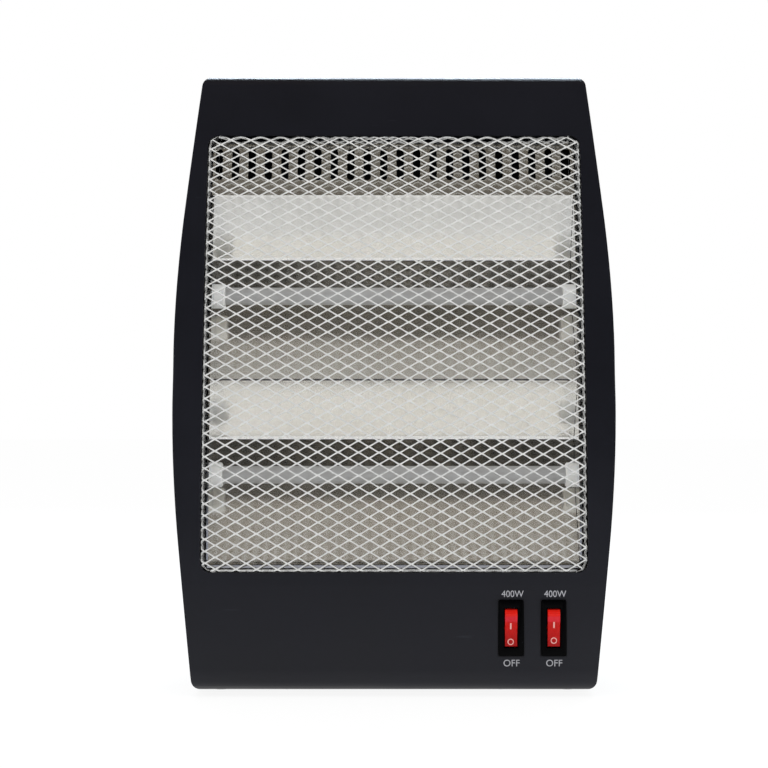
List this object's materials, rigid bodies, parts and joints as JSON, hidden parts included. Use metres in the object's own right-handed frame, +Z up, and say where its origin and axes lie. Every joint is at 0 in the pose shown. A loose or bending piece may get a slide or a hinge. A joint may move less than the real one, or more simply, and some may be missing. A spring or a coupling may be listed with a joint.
{
  "type": "electric bar heater",
  "caption": "Portable quartz bar heater with a lean-back housing, guard over bent reflectors, rocker switches and a tip-over switch.",
  "frame": {"origin": "on the floor, at the middle of the overall box in X and Y", "axes": "+X to the right seen from the front, -Y towards the person the heater faces, +Z up"},
  "size_m": [0.2476, 0.1326, 0.3525],
  "materials": {
    "housing": "satin blue-black",
    "base": "matt",
    "foot_rubber": "matt",
    "guard_wire": "bright plated",
    "reflector": "polished",
    "zinc_steel": "zinc plated",
    "quartz": "milky, satin",
    "resistance_wire": "oxidised",
    "ceramic": "unglazed",
    "brass_parts": "plain",
    "switch_black": "moulded",
    "rocker_red": "moulded",
    "terminal_white": "moulded",
    "wire_sleeve": "silicone sleeve",
    "microswitch_case": "moulded"
  },
  "bodies": {
    "heater": {"front_housing": "housing", "rear_housing": "housing", "base_plate": "base", "rubber_feet": "foot_rubber", "guard_mesh": "guard_wire", "reflector_upper": "reflector", "reflector_lower": "reflector", "bracket_left": "zinc_steel", "bracket_right": "zinc_steel", "heat_shield": "zinc_steel", "quartz_tube_upper": "quartz", "quartz_tube_lower": "quartz", "heating_coil_upper": "resistance_wire", "heating_coil_lower": "resistance_wire", "ceramic_caps_upper": "ceramic", "ceramic_caps_lower": "ceramic", "tube_terminals": "brass_parts", "switch_housing_left": "switch_black", "switch_housing_right": "switch_black", "switch_blades": "brass_parts", "thermal_cutout": "switch_black", "terminal_block": "terminal_white", "wiring_loom": "wire_sleeve", "cord_inlet_bush": "foot_rubber", "tilt_switch_frame": "zinc_steel", "tilt_microswitch": "microswitch_case", "tilt_spring": "zinc_steel", "housing_screws": "zinc_steel", "base_screws": "zinc_steel", "bracket_screws": "zinc_steel", "shield_screws": "zinc_steel"},
    "rocker_left": {"rocker_left": "rocker_red"},
    "rocker_right": {"rocker_right": "rocker_red"},
    "tilt_plunger": {"tilt_plunger": "terminal_white"},
    "tilt_lever": {"tilt_lever": "zinc_steel"}
  },
  "joints": [
    {"name": "rocker_left_tilt", "type": "hinge", "parent": "heater", "child": "rocker_left", "pos_m": [0.0645, -0.05884, 0.0382], "axis": [-1, 0, 0], "range_deg": [0, 22]},
    {"name": "rocker_right_tilt", "type": "hinge", "parent": "heater", "child": "rocker_right", "pos_m": [0.088, -0.05884, 0.0382], "axis": [-1, 0, 0], "range_deg": [0, 22]},
    {"name": "tilt_plunger_travel", "type": "slide", "parent": "heater", "child": "tilt_plunger", "axis": [0, 0, -1], "range_m": [0, 0.004], "stiffness_N_per_m": 60, "springref_m": 0.006, "deforming": ["tilt_spring"]},
    {"name": "tilt_lever_swing", "type": "hinge", "parent": "heater", "child": "tilt_lever", "pos_m": [-0.026, 0.01, 0.0294], "axis": [0, -1, 0], "range_deg": [0, 17]}
  ],
  "couplings": [
    {"joint": "tilt_lever_swing", "follows": "tilt_plunger_travel", "rad_per_m": 71.429}
  ]
}
